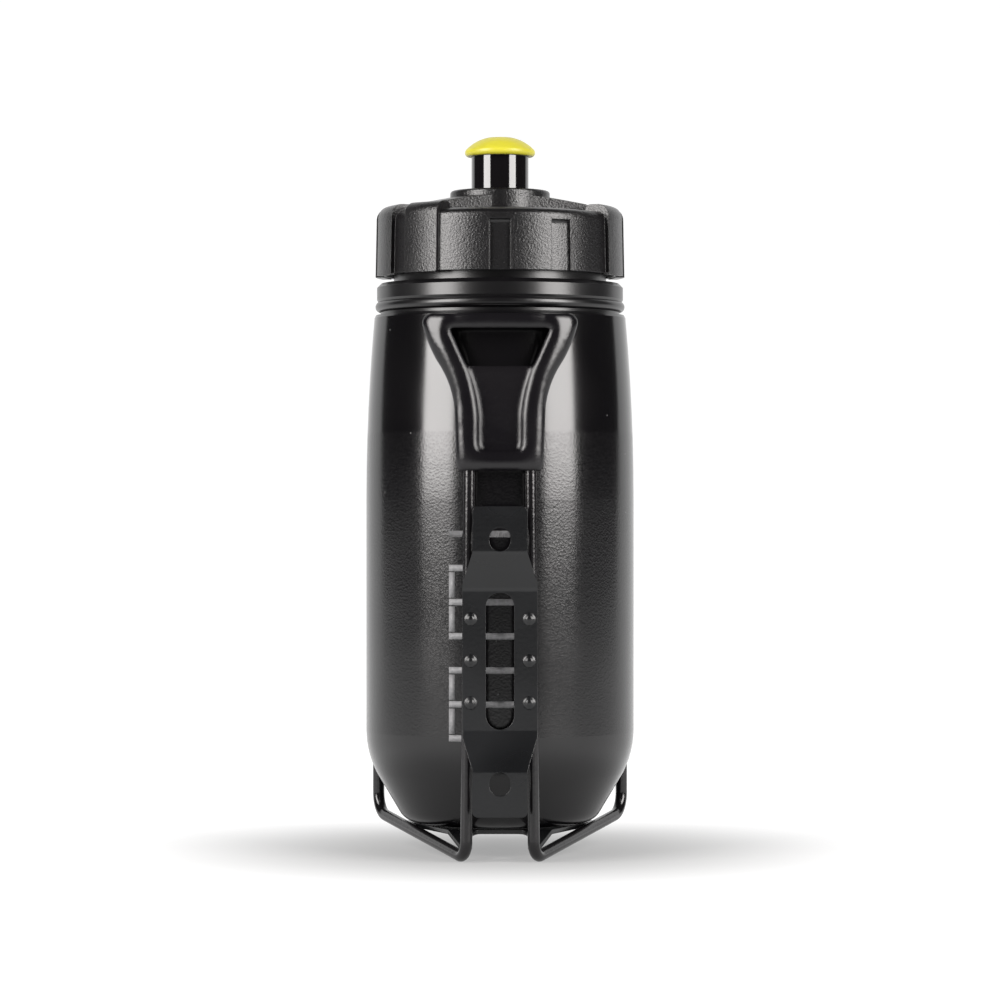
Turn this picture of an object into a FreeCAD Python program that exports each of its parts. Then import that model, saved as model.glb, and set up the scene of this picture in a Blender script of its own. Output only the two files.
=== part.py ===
import FreeCAD, Part
import math
import os
import re

import Sketcher

# A cycling water bottle in its wire cage, in millimetres.
#
# The frame: the origin is midway between the two frame-bolt slots, on the outer face of the
# mounting plate's tabs. +Z is up, +X is to the right for someone who looks at the plate, and +Y
# runs from the bicycle frame through the plate to the bottle.
# Heights of the bottle and of the cage wires are counted up from the bottle's underside, and
# azimuths are counted from the -Y side, positive towards +X.

Vector = FreeCAD.Vector

SIZES = {
    # bottle body
    "body_radius": 36.5, "body_height": 137.3, "body_wall": 1.1, "taper_start": 88.0,
    "lip_inset": 2.2, "taper_bend": 555.0, "base_clear": 0.76, "base_bend": 6.0,
    "corner_run": 5.0, "corner_height": 3.1, "cone_inset": 2.9, "cone_height": 13.5,
    "side_start": 25.0, "side_bend": 26.0, "punt_height": 4.5, "punt_inset": 18.0,
    "punt_flat": 5.0, "punt_bend": 44.0,
    # rings under the lid and the neck
    "groove_depth": 1.7, "groove_height": 0.8, "bead_height": 2.8, "bead_bend": 1.5,
    "ring_inset": 0.7, "ring_gap": 0.7, "ring_height": 3.2, "neck_step": 5.4,
    "neck_wall": 1.7, "shoulder_rise": 1.1,
    # screw thread
    "thread_pitch": 4.5, "thread_depth": 1.4, "thread_gap": 0.5, "thread_clear": 0.45,
    "thread_root": 1.7, "thread_crest": 0.7,
    # lid
    "lid_gap": 2.2, "lid_wall": 1.7, "lid_height": 16.5, "lid_floor": 2.2, "lid_bend": 2.2,
    "lid_draft": 0.3, "floor_rise": 0.7, "plateau_inset": 7.9, "plateau_step": 2.0,
    "plateau_bevel": 0.4,
    "plateau_rise": 2.1, "boss_radius": 13.6, "boss_height": 1.9, "boss_bend": 0.8,
    "bite_reach": 12.4, "plug_wall": 1.4, "plug_gap": 0.6, "plug_depth": 4.5,
    "lobe_proud": 1.2, "lobe_rise": 2.1, "lobe_bend": 3.3, "lobe_angle": 19.0,
    "lobe_pitch": 30.0, "lobe_first": 54.5, "lobe_inset": 6.0, "lobe_corner": 1.6,
    "back_lobe_angle": 30.0, "flute_depth": 0.9, "flute_angle": 10.0, "flute_top": 2.9,
    "flute_bend": 1.2, "window_azimuth": 15.0,
    # seals and the drinking valve
    "gasket_thickness": 1.8, "gasket_inset": 0.3, "seal_gap": 0.05, "running_gap": 0.06,
    "tube_radius": 7.8, "tube_wall": 1.5, "tube_show": 9.5, "valve_travel": 7.0,
    "stop_lip": 1.5, "stop_bead": 0.8, "stop_height": 1.4, "oring_depth": 1.1,
    "oring_height": 1.8, "oring_corner": 0.4, "sleeve_wall": 1.7,
    "insert_height": 2.8, "insert_wall": 1.3,
    "spoke_width": 1.6, "post_foot": 2.9, "post_height": 3.0, "post_taper": 2.0,
    "post_recess": 0.5, "post_bevel": 0.5, "hole_radius": 2.6, "hole_bevel": 0.2,
    "key_inset": 0.5, "key_foot": 0.6, "key_height": 2.2,
    "cap_proud": 1.8, "cap_height": 5.1, "cap_edge": 1.2, "cap_tuck": 0.6, "cap_rim": 1.9,
    "cap_dome": 11.0, "cap_flat": 3.4,
    # cage wire
    "wire_radius": 1.6, "body_gap": 0.3, "rail_half": 7.9, "rail_splay": 1.0,
    "foot_drop": 6.7, "arm_foot": 1.2, "arm_azimuth": 119.4, "hoop_height": 78.0,
    "wire_bend": 6.0, "foot_bend": 4.0, "around_bend": 20.0, "fan_start": 112.0,
    "fan_bend": 18.0, "fan_half": 16.6, "bar_height": 135.05, "bar_bend": 3.0,
    # mounting plate
    "plate_thickness": 1.5, "tab_rise": 4.6, "hole_spacing": 64.0, "tab_end": 8.7,
    "tab_root": 3.5, "middle_half": 18.8, "plate_over": 2.0, "tab_width": 14.5,
    "taper_low": 20.0, "plate_corner": 1.5, "plate_bend": 2.5, "slot_width": 7.4,
    "slot_half": 18.0, "bolt_slot_width": 5.5, "bolt_slot_length": 6.2, "plate_drop": 45.5,
    # base plate
    "base_thickness": 1.2, "base_gap": 0.35, "base_back": 22.0, "base_front": 8.0,
    "leg_back": 33.5, "notch_half": 7.4, "notch_corner": 2.5, "weld_gap": 0.05,
    # top clip
    "clip_cover": 1.4, "clip_low": 95.4, "clip_side": 1.9, "clip_flare": 112.3,
    "clip_spread": 0.6, "clip_swell": 4.6, "swell_height": 124.5, "tip_side": 3.9,
    "tip_drop": 3.0, "tip_bend": 2.4, "flare_bend": 27.0, "swell_bend": 40.0,
    "foot_corner": 1.4, "web_low": 100.7, "web_corner": 1.8, "web_side": 0.6,
    "web_flare": 110.0, "window_low": 123.1, "window_half_low": 8.7, "window_side": 3.4,
    "web_bend": 45.0, "web_wall": 1.6, "bar_skin": 0.3, "clip_round": 1.3,
    "channel_gap": 0.05,
    # how far a cut runs past the faces that it clears
    "overcut": 1.0,
}

doc = FreeCAD.newDocument("bottle_and_cage")
sheet = doc.addObject("Spreadsheet::Sheet", "sizes")
for row, (alias, value) in enumerate(SIZES.items(), start=1):
    sheet.set(f"A{row}", str(value))
    sheet.setAlias(f"A{row}", alias)
doc.recompute()


def bound(expression):
    """The expression with each size's name written as a reference to its cell."""
    return re.sub(r"[a-z_]+", lambda m: "sizes." + m[0] if m[0] in SIZES else m[0], expression)


def size(expression):
    """The number that an expression of the sheet's sizes gives now."""
    return float(sheet.evalExpression(expression))


# Places that follow from the sizes, as expressions. The cage fits the body, the lid fits the
# neck, and the bottle's foot stands between the diagonal runs of the wire.
WIRE_REACH = "(body_radius + body_gap + wire_radius)"
ARM_REACH = f"({WIRE_REACH} / cos((180 - arm_azimuth) / 8))"
RAIL_DEPTH = f"sqrt({WIRE_REACH}^2 - rail_half^2)"
FOOT_X = "(rail_half + rail_splay)"
ARM_X = f"({ARM_REACH} * sin(arm_azimuth))"
DIAGONAL_RUN = f"({RAIL_DEPTH} - {ARM_REACH} * cos(arm_azimuth))"
DIAGONAL_SLOPE = f"(({ARM_X} - {FOOT_X}) / {DIAGONAL_RUN})"
DIAGONAL_SLANT = f"sqrt(1 + {DIAGONAL_SLOPE}^2)"
BASE_RADIUS = f"(({FOOT_X} + {RAIL_DEPTH} * {DIAGONAL_SLOPE}) / {DIAGONAL_SLANT} - base_clear)"
CORNER_RADIUS = f"({BASE_RADIUS} + corner_run)"
AXIS_Y = f"(tab_rise + plate_thickness + wire_radius + {RAIL_DEPTH})"
LIP_RADIUS = "(body_radius - lip_inset)"
RING_RADIUS = f"({LIP_RADIUS} - ring_inset)"
NECK_RADIUS = f"({LIP_RADIUS} - neck_step)"
NECK_BORE = f"({NECK_RADIUS} - neck_wall)"
GROOVE_LOW = "(body_height + groove_height)"
GROOVE_HIGH = f"({GROOVE_LOW} + groove_height)"
RING_LOW = f"({GROOVE_HIGH} + bead_height + ring_gap)"
RING_HIGH = f"({RING_LOW} + ring_height)"
NECK_FOOT = f"({RING_HIGH} + shoulder_rise)"
LID_LOW = f"({NECK_FOOT} + lid_gap)"
LID_BORE = f"({NECK_RADIUS} + thread_depth + thread_gap)"
LID_RADIUS = f"({LID_BORE} + lid_wall)"
LID_TOP = f"({LID_LOW} + lid_height)"
CEILING = f"({LID_TOP} - lid_floor)"
GASKET_LOW = f"({CEILING} - gasket_thickness)"
NECK_RIM = f"({GASKET_LOW} - seal_gap)"
THREAD_LOW = f"({LID_LOW} + thread_pitch / 2 + thread_root)"
THREAD_TURNS = f"(({NECK_RIM} - {THREAD_LOW} - thread_root / 2 - thread_clear) / thread_pitch)"
FLOOR_TOP = f"({LID_TOP} + floor_rise)"
PLATEAU_RADIUS = f"({LID_RADIUS} - plateau_inset)"
PLATEAU_EDGE = f"({FLOOR_TOP} + plateau_step)"
PLATEAU_TOP = f"({PLATEAU_EDGE} + plateau_rise)"
BOSS_TOP = f"({PLATEAU_TOP} + boss_height)"
TUBE_BORE = "(tube_radius - tube_wall)"
CHAMBER = "(tube_radius + stop_bead + running_gap)"
CHAMBER_TOP = f"({BOSS_TOP} - stop_lip)"
BEAD_TOP = f"({CHAMBER_TOP} - valve_travel - running_gap)"
TUBE_LOW = f"({BEAD_TOP} - stop_height * 2 - oring_height)"
INSERT_TOP = f"({TUBE_LOW} - running_gap)"
SLEEVE_LOW = f"({INSERT_TOP} - insert_height)"
TUBE_TOP = f"({BOSS_TOP} + tube_show)"
CAP_TOP = f"({TUBE_TOP} + cap_height)"
CLIP_BORE = "(body_radius + body_gap)"
CLIP_RADIUS = f"({WIRE_REACH} + wire_radius + clip_cover)"
CLIP_HALF = "(rail_half + wire_radius + clip_side)"
CLIP_WAIST = f"({CLIP_HALF} + clip_spread)"
CLIP_TIP = "(fan_half + tip_side)"
CLIP_TOP = "(bar_height + wire_radius + channel_gap + bar_skin)"
WEB_HALF = "(rail_half - wire_radius - web_side)"
WINDOW_HIGH = "(bar_height - wire_radius - channel_gap - bar_skin)"
WINDOW_HALF_TOP = "(fan_half - window_side)"
BAR_FACE = f"({WIRE_REACH} + wire_radius + bar_skin)"
PLATE_HALF = "(hole_spacing / 2 + tab_end)"
TAB_START = "(hole_spacing / 2 - tab_root)"
MIDDLE_WIDTH = "((rail_half + plate_over) * 2)"


# Drawing helpers.
def draw_outline(sketch, corners):
    """Draw a closed outline. A corner is (x, y) or (x, y, bend): the stretch that leaves it is
    straight, or an arc of radius |bend| that turns left (bend with no sign) or right ("-...")."""
    places = [Vector(size(corner[0]), size(corner[1]), 0) for corner in corners]
    stretches = []
    for index, corner in enumerate(corners):
        start, end = places[index], places[(index + 1) % len(corners)]
        if len(corner) == 2:
            line = sketch.addGeometry(Part.LineSegment(start, end))
            stretches.append((line, 1, 2))
            continue
        right = corner[2].startswith("-")
        bend = corner[2].lstrip("-")
        radius, chord = size(bend), end - start
        across = Vector(-chord.y, chord.x, 0).normalize() * (-1 if right else 1)
        depth = math.sqrt(max(radius**2 - (chord.Length / 2) ** 2, 0))
        centre = (start + end) / 2 + across * depth
        first, last = (end, start) if right else (start, end)
        angles = [math.atan2(p.y - centre.y, p.x - centre.x) for p in (first, last)]
        circle = Part.Circle(centre, Vector(0, 0, 1), radius)
        arc = sketch.addGeometry(Part.ArcOfCircle(circle, *angles))
        stretches.append((arc, 2, 1) if right else (arc, 1, 2))
        held = sketch.addConstraint(Sketcher.Constraint("Radius", arc, radius))
        sketch.setExpression(f"Constraints[{held}]", bound(bend))
    for (before, _, end), (after, start, _) in zip(stretches, stretches[1:] + stretches[:1]):
        sketch.addConstraint(Sketcher.Constraint("Coincident", before, end, after, start))
    for corner, (stretch, start, _) in zip(corners, stretches):
        for kind, expression in zip(("DistanceX", "DistanceY"), corner):
            held = sketch.addConstraint(
                Sketcher.Constraint(kind, -1, 1, stretch, start, size(expression)))
            sketch.setExpression(f"Constraints[{held}]", bound(expression))


def add_sketch(body, name, plane, *outlines, turn="0"):
    """A sketch on one of the body's own planes, turned about Z to an azimuth if one is given."""
    sketch = body.newObject("Sketcher::SketchObject", name)
    support = [item for item in body.Origin.OriginFeatures if item.Role == plane]
    sketch.AttachmentSupport = [(support[0], "")]
    sketch.MapMode = "FlatFace"
    if turn != "0":
        sketch.AttachmentOffset = FreeCAD.Placement(
            Vector(), FreeCAD.Rotation(Vector(0, 1, 0), size(turn)))
        sketch.setExpression("AttachmentOffset.Rotation.Angle", bound(turn))
    for outline in outlines:
        draw_outline(sketch, outline)
    return sketch


def add_revolution(body, sketch, kind="Revolution", angle="360"):
    """Turn a sketch about the body's Z axis, to both sides of the sketch alike."""
    feature = body.newObject(f"PartDesign::{kind}", f"{sketch.Name}_turned")
    feature.Profile = (sketch, [""])
    feature.ReferenceAxis = (sketch, ["V_Axis"])
    feature.Midplane = True
    feature.Angle = size(angle)
    if angle != "360":
        feature.setExpression("Angle", bound(angle))
    doc.recompute()
    return feature


def add_extrusion(body, sketch, kind="Pad", length=None):
    """Pad or pocket a sketch to both sides: by a length, or a pocket through everything."""
    feature = body.newObject(f"PartDesign::{kind}", f"{sketch.Name}_{kind.lower()}")
    feature.Profile = (sketch, [""])
    feature.Midplane = True
    if length is None:
        feature.Type = "ThroughAll"
    else:
        feature.Length = size(length)
        feature.setExpression("Length", bound(length))
    doc.recompute()
    return feature


def new_body(label, x="0", y=AXIS_Y, z="-plate_drop"):
    """A body whose own origin lies on the bottle's axis at the bottle's underside."""
    body = doc.addObject("PartDesign::Body", label)
    for axis, expression in zip("xyz", (x, y, z)):
        body.setExpression(f"Placement.Base.{axis}", bound(expression))
    return body


def turned_body(label, outline):
    """A body that is one outline turned about the bottle's axis."""
    body = new_body(label)
    add_revolution(body, add_sketch(body, f"{label}_outline", "XZ_Plane", outline))
    return body


def add_thread(body, name, root, crest, low):
    """A screw ridge: a trapezium from the root radius to the crest radius, wound upwards."""
    ridge = [(root, f"{low} - thread_root / 2"), (crest, f"{low} - thread_crest / 2"),
             (crest, f"{low} + thread_crest / 2"), (root, f"{low} + thread_root / 2")]
    if size(f"{crest} - {root}") < 0:
        ridge.reverse()
    sketch = add_sketch(body, name, "XZ_Plane", ridge)
    helix = body.newObject("PartDesign::AdditiveHelix", f"{name}_ridge")
    helix.Profile = (sketch, [""])
    helix.ReferenceAxis = (sketch, ["V_Axis"])
    helix.Mode = 1
    for prop, expression in (("Pitch", "thread_pitch"), ("Turns", THREAD_TURNS)):
        setattr(helix, prop, size(expression))
        helix.setExpression(prop, bound(expression))
    doc.recompute()
    return helix


# The bottle.
def make_bottle_body():
    """The blow-moulded bottle: a thin wall from the hollow foot to the rim of the neck."""
    outside = [
        ("0", "punt_height"),
        ("punt_flat", "punt_height", "-punt_bend"),
        ("punt_inset", "0"),
        (BASE_RADIUS, "0", "base_bend"),
        (CORNER_RADIUS, "corner_height"),
        ("body_radius - cone_inset", "cone_height", "side_bend"),
        ("body_radius", "side_start"),
        ("body_radius", "taper_start", "taper_bend"),
        (LIP_RADIUS, "body_height"),
        (f"{LIP_RADIUS} - groove_height / 2", GROOVE_LOW),
        (f"{LIP_RADIUS} - groove_depth", GROOVE_LOW),
        (f"{LIP_RADIUS} - groove_depth", GROOVE_HIGH, "bead_bend"),
        (f"{RING_RADIUS} - ring_gap / 2", f"{GROOVE_HIGH} + bead_height"),
        (RING_RADIUS, RING_LOW),
        (RING_RADIUS, RING_HIGH),
        (f"{RING_RADIUS} - shoulder_rise", NECK_FOOT),
        (NECK_RADIUS, NECK_FOOT),
        (NECK_RADIUS, NECK_RIM),
    ]
    inside = [
        (NECK_BORE, NECK_RIM),
        (NECK_BORE, f"{NECK_FOOT} - body_wall * 1.5"),
        (f"{LIP_RADIUS} - groove_depth - body_wall", f"{NECK_FOOT} - body_wall * 1.5"),
        (f"{LIP_RADIUS} - groove_depth - body_wall", "body_height - body_wall"),
        (f"{LIP_RADIUS} - body_wall", "body_height - body_wall * 3", "-(taper_bend)"),
        ("body_radius - body_wall", "taper_start"),
        ("body_radius - body_wall", "side_start", "-(side_bend)"),
        ("body_radius - cone_inset - body_wall", "cone_height + body_wall / 2"),
        (f"{CORNER_RADIUS} - body_wall / 2", "corner_height + body_wall", "-(base_bend)"),
        (BASE_RADIUS, "body_wall"),
        ("punt_inset", "body_wall", "punt_bend"),
        ("punt_flat", "punt_height + body_wall"),
        ("0", "punt_height + body_wall"),
    ]
    body = turned_body("bottle_body", outside + inside)
    add_thread(body, "neck_thread", f"{NECK_RADIUS} - neck_wall / 4",
               f"{NECK_RADIUS} + thread_depth", THREAD_LOW)
    return body


# The lid, its seal and the drinking valve.
def lobe_outline():
    """The section of a grip lobe, which stands proud of the lid's wall and its top."""
    outer = f"({LID_RADIUS} + lobe_proud)"
    top = f"({LID_TOP} + lobe_rise)"
    inner = f"({LID_RADIUS} - lobe_inset)"
    return [
        (f"{LID_BORE} + lid_draft + lid_wall / 3", f"{LID_LOW} - lid_draft"),
        (f"{outer} + lid_draft", f"{LID_LOW} - lid_draft"),
        (outer, f"{top} - lobe_bend", "lobe_bend"),
        (f"{outer} - lobe_bend", top),
        (f"{inner} + lobe_corner", top, "lobe_corner"),
        (inner, f"{top} - lobe_corner"),
        (inner, f"{CEILING} + lid_floor / 2"),
        (f"{LID_BORE} + lid_wall / 3", f"{CEILING} + lid_floor / 2"),
    ]


def make_lid_shell():
    """The screw lid: wall, floor, raised plateau, valve boss, inner plug ring and guide sleeve."""
    sleeve = f"({CHAMBER} + sleeve_wall)"
    plug = f"({NECK_BORE} - plug_gap)"
    profile = [
        (f"{LID_BORE} + lid_draft", LID_LOW),
        (f"{LID_RADIUS} + lid_draft", LID_LOW),
        (LID_RADIUS, f"{LID_TOP} - lid_bend", "lid_bend"),
        (f"{LID_RADIUS} - lid_bend", LID_TOP),
        (PLATEAU_RADIUS, FLOOR_TOP),
        (PLATEAU_RADIUS, f"{PLATEAU_EDGE} - plateau_bevel"),
        (f"{PLATEAU_RADIUS} - plateau_bevel", PLATEAU_EDGE),
        ("boss_radius", PLATEAU_TOP),
        ("boss_radius", f"{BOSS_TOP} - boss_bend", "boss_bend"),
        ("boss_radius - boss_bend", BOSS_TOP),
        ("tube_radius + running_gap", BOSS_TOP),
        ("tube_radius + running_gap", CHAMBER_TOP),
        (CHAMBER, CHAMBER_TOP),
        (CHAMBER, SLEEVE_LOW),
        (sleeve, SLEEVE_LOW),
        (sleeve, CEILING),
        (f"{plug} - plug_wall", CEILING),
        (f"{plug} - plug_wall", f"{CEILING} - plug_depth"),
        (f"{plug} - plug_wall / 2", f"{CEILING} - plug_depth"),
        (plug, f"{CEILING} - plug_depth + plug_wall"),
        (plug, CEILING),
        (LID_BORE, CEILING),
    ]
    body = turned_body("lid_shell", profile)
    for side in (-1, 1):
        first = f"-90 + window_azimuth + {side} * lobe_first"
        lobe = add_revolution(
            body, add_sketch(body, f"lobe_{side + 1}", "XZ_Plane", lobe_outline(), turn=first),
            angle="lobe_angle")
        row = body.newObject("PartDesign::PolarPattern", f"lobes_{side + 1}")
        row.Originals = [lobe]
        row.Axis = (lobe.Profile[0], ["V_Axis"])
        row.Mode = "Spacing"
        row.Reversed = side < 0
        row.Occurrences = 4
        row.Offset = size("lobe_pitch")
        row.setExpression("Offset", bound("lobe_pitch"))
        body.Tip = row
        doc.recompute()
    back = add_sketch(body, "back_lobe", "XZ_Plane", lobe_outline(), turn="90 + window_azimuth")
    add_revolution(body, back, angle="back_lobe_angle")
    outside, bottom = f"({LID_RADIUS} + flute_bend + overcut)", f"({LID_LOW} - overcut)"
    flute_floor, flute_high = f"({LID_RADIUS} - flute_depth)", f"({LID_TOP} - flute_top)"
    for step in (0, 1):
        flute = [
            (outside, bottom), (outside, flute_high),
            (f"{flute_floor} + flute_bend", flute_high, "flute_bend"),
            (flute_floor, f"{flute_high} - flute_bend"),
            (f"{flute_floor} + lid_draft", bottom),
        ]
        sketch = add_sketch(body, f"flute_{step}", "XZ_Plane", flute,
                            turn=f"-90 + {step} * lobe_pitch")
        add_revolution(body, sketch, kind="Groove", angle="flute_angle")
    notch = "sqrt(boss_radius^2 - bite_reach^2)"
    bite_high = f"({PLATEAU_TOP} + overcut)"
    beyond = f"({PLATEAU_RADIUS} + overcut)"
    reach = f"sqrt({beyond}^2 - bite_reach^2)"
    bite = [
        (notch, "-bite_reach"), (reach, "-bite_reach", f"-{beyond}"),
        (f"-{reach}", "-bite_reach"), (f"-{notch}", "-bite_reach", "boss_radius"),
    ]
    sketch = add_sketch(body, "plateau_bite", "XY_Plane", bite)
    sketch.AttachmentOffset = FreeCAD.Placement(
        Vector(), FreeCAD.Rotation(Vector(0, 0, 1), size("window_azimuth")))
    sketch.setExpression("AttachmentOffset.Rotation.Angle", bound("window_azimuth"))
    sketch.setExpression("AttachmentOffset.Base.z", bound(f"({FLOOR_TOP} + {bite_high}) / 2"))
    add_extrusion(body, sketch, kind="Pocket", length=f"{bite_high} - {FLOOR_TOP}")
    add_thread(body, "lid_thread", f"{LID_BORE} + lid_wall / 3", f"{LID_BORE} - thread_depth",
               f"{THREAD_LOW} - thread_pitch / 2")
    return body


def make_lid_gasket():
    """The flat ring that seals the lid's ceiling on the rim of the neck."""
    inner = f"({NECK_BORE} - plug_gap / 2)"
    outer = f"({LID_BORE} - gasket_inset)"
    top = f"({CEILING} - seal_gap)"
    return turned_body("lid_gasket", [
        (inner, GASKET_LOW), (outer, GASKET_LOW), (outer, top), (inner, top)])


def make_nozzle_tube():
    """The sliding tube: a stop bead at its foot, a seal groove and a clear bore."""
    groove_low = f"({TUBE_LOW} + stop_height)"
    groove_high = f"({groove_low} + oring_height)"
    bead = "(tube_radius + stop_bead)"
    bottom = "(tube_radius - oring_depth + stop_bead)"
    return turned_body("nozzle_tube", [
        (TUBE_BORE, TUBE_LOW),
        (bead, TUBE_LOW),
        (bead, groove_low),
        (bottom, groove_low),
        (bottom, groove_high),
        (bead, groove_high),
        (bead, BEAD_TOP),
        ("tube_radius", BEAD_TOP),
        ("tube_radius", TUBE_TOP),
        ("tube_radius - key_inset", f"{TUBE_TOP} + key_foot"),
        ("tube_radius - key_inset", f"{TUBE_TOP} + key_height"),
        (TUBE_BORE, f"{TUBE_TOP} + key_height"),
    ])


def make_nozzle_seal():
    """The sliding seal ring in the tube's groove."""
    groove_low = f"({TUBE_LOW} + stop_height)"
    groove_high = f"({groove_low} + oring_height)"
    inner = "(tube_radius - oring_depth + stop_bead)"
    outer = "(tube_radius + stop_bead + running_gap / 3)"
    return turned_body("nozzle_seal", [
        (inner, groove_low),
        (f"{outer} - oring_corner", groove_low),
        (outer, f"{groove_low} + oring_corner"),
        (outer, f"{groove_high} - oring_corner"),
        (f"{outer} - oring_corner", groove_high),
        (inner, groove_high),
    ])


def make_mouthpiece():
    """The soft mushroom cap that is moulded over the top of the tube."""
    edge = "(tube_radius + cap_proud)"
    hole = "(hole_radius + running_gap)"
    return turned_body("mouthpiece", [
        (hole, f"{TUBE_TOP} + key_height"),
        ("tube_radius - key_inset", f"{TUBE_TOP} + key_height"),
        ("tube_radius - key_inset", f"{TUBE_TOP} + key_foot"),
        ("tube_radius", TUBE_TOP),
        (f"{edge} - cap_tuck", TUBE_TOP, "cap_edge"),
        (f"{edge} - cap_tuck * 2 / 3", f"{TUBE_TOP} + cap_rim", "cap_dome"),
        ("cap_flat", CAP_TOP),
        (f"{hole} + hole_bevel", CAP_TOP),
        (hole, f"{CAP_TOP} - hole_bevel"),
    ])


def make_valve_insert():
    """The pressed-in spider: a ring and three spokes that carry the post, which plugs the hole."""
    tip = f"({CAP_TOP} - post_recess)"
    body = turned_body("valve_insert", [
        ("0", SLEEVE_LOW),
        ("post_foot", SLEEVE_LOW),
        ("post_foot", f"{INSERT_TOP} + post_height"),
        ("hole_radius", f"{INSERT_TOP} + post_height + post_taper"),
        ("hole_radius", f"{tip} - post_bevel"),
        ("hole_radius - post_bevel", tip),
        ("0", tip),
    ])
    ring = add_sketch(body, "insert_ring", "XZ_Plane", [
        (f"{CHAMBER} - insert_wall", SLEEVE_LOW), (CHAMBER, SLEEVE_LOW), (CHAMBER, INSERT_TOP),
        (f"{CHAMBER} - insert_wall", INSERT_TOP)])
    add_revolution(body, ring)
    spoke = add_sketch(body, "spoke", "XZ_Plane", [
        ("post_foot / 2", SLEEVE_LOW), (f"{CHAMBER} - insert_wall / 2", SLEEVE_LOW),
        (f"{CHAMBER} - insert_wall / 2", INSERT_TOP), ("post_foot / 2", INSERT_TOP)])
    one = add_extrusion(body, spoke, length="spoke_width")
    spokes = body.newObject("PartDesign::PolarPattern", "spokes")
    spokes.Originals = [one]
    spokes.Axis = (spoke, ["V_Axis"])
    spokes.Occurrences = 3
    body.Tip = spokes
    doc.recompute()
    return body


# The cage.
def rounded_path(corners, bends):
    """A wire of straight runs, with each inner corner rounded to its bend radius."""
    start, edges = corners[0], []
    for before, corner, after, bend in zip(corners, corners[1:], corners[2:], bends):
        back, ahead = (before - corner).normalize(), (after - corner).normalize()
        half = back.getAngle(ahead) / 2
        reach = bend / math.tan(half)
        first, last = corner + back * reach, corner + ahead * reach
        inward = (back + ahead).normalize()
        middle = corner + inward * (bend / math.sin(half) - bend)
        edges.append(Part.makeLine(start, first))
        edges.append(Part.Arc(first, middle, last).toShape())
        start = last
    edges.append(Part.makeLine(start, corners[-1]))
    return Part.Wire(edges)


def around(reach, azimuth, height):
    """The point at a distance from the bottle's axis, at an azimuth and a height."""
    angle = math.radians(azimuth)
    return Vector(reach * math.sin(angle), -reach * math.cos(angle), height)


def wire_route(side):
    """One half of the cage's wire, from the middle of the top bar to the middle of the hoop."""
    reach, depth = size(WIRE_REACH), size(RAIL_DEPTH)
    rail, foot = size("rail_half"), size(FOOT_X)
    bar, arm = size("bar_height"), size("arm_azimuth")
    bend, gentle = size("wire_bend"), size("around_bend")
    fan = math.degrees(math.asin(size("fan_half") / reach))
    bar_step, hoop_step = fan / 3, (180 - arm) / 4
    bar_reach = reach / math.cos(math.radians(bar_step / 2))
    hoop_reach = size(ARM_REACH)
    corners = [around(reach, 0, bar)]
    corners += [around(bar_reach, bar_step * step, bar) for step in (0.5, 1.5, 3)]
    corners += [
        Vector(rail, -depth, size("fan_start")),
        Vector(foot, -depth, -size("foot_drop")),
        around(hoop_reach, arm, size("arm_foot")),
        around(hoop_reach, arm, size("hoop_height")),
    ]
    corners += [around(hoop_reach, arm + hoop_step * step, size("hoop_height"))
                for step in (1, 2, 3)]
    corners += [around(hoop_reach, 180 - hoop_step / 2, size("hoop_height")),
                around(hoop_reach, 180, size("hoop_height"))]
    corners[-1].y = corners[-2].y
    bends = [gentle, gentle, size("bar_bend"), size("fan_bend"), size("foot_bend"), bend, bend]
    bends += [gentle] * (len(corners) - len(bends) - 2)
    for corner in corners:
        corner.x *= side
    return rounded_path(corners, bends)


def make_wire(label, side, radius):
    """A round wire along one half of the cage's route."""
    route = wire_route(side)
    start = route.Edges[0]
    heading = start.tangentAt(start.FirstParameter)
    section = Part.Wire(Part.makeCircle(radius, route.Vertexes[0].Point, heading))
    wire = doc.addObject("Part::Feature", label)
    wire.Shape = route.makePipeShell([section], True, False)
    wire.setExpression("Placement.Base.y", bound(AXIS_Y))
    wire.setExpression("Placement.Base.z", bound("-plate_drop"))
    return wire


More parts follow.
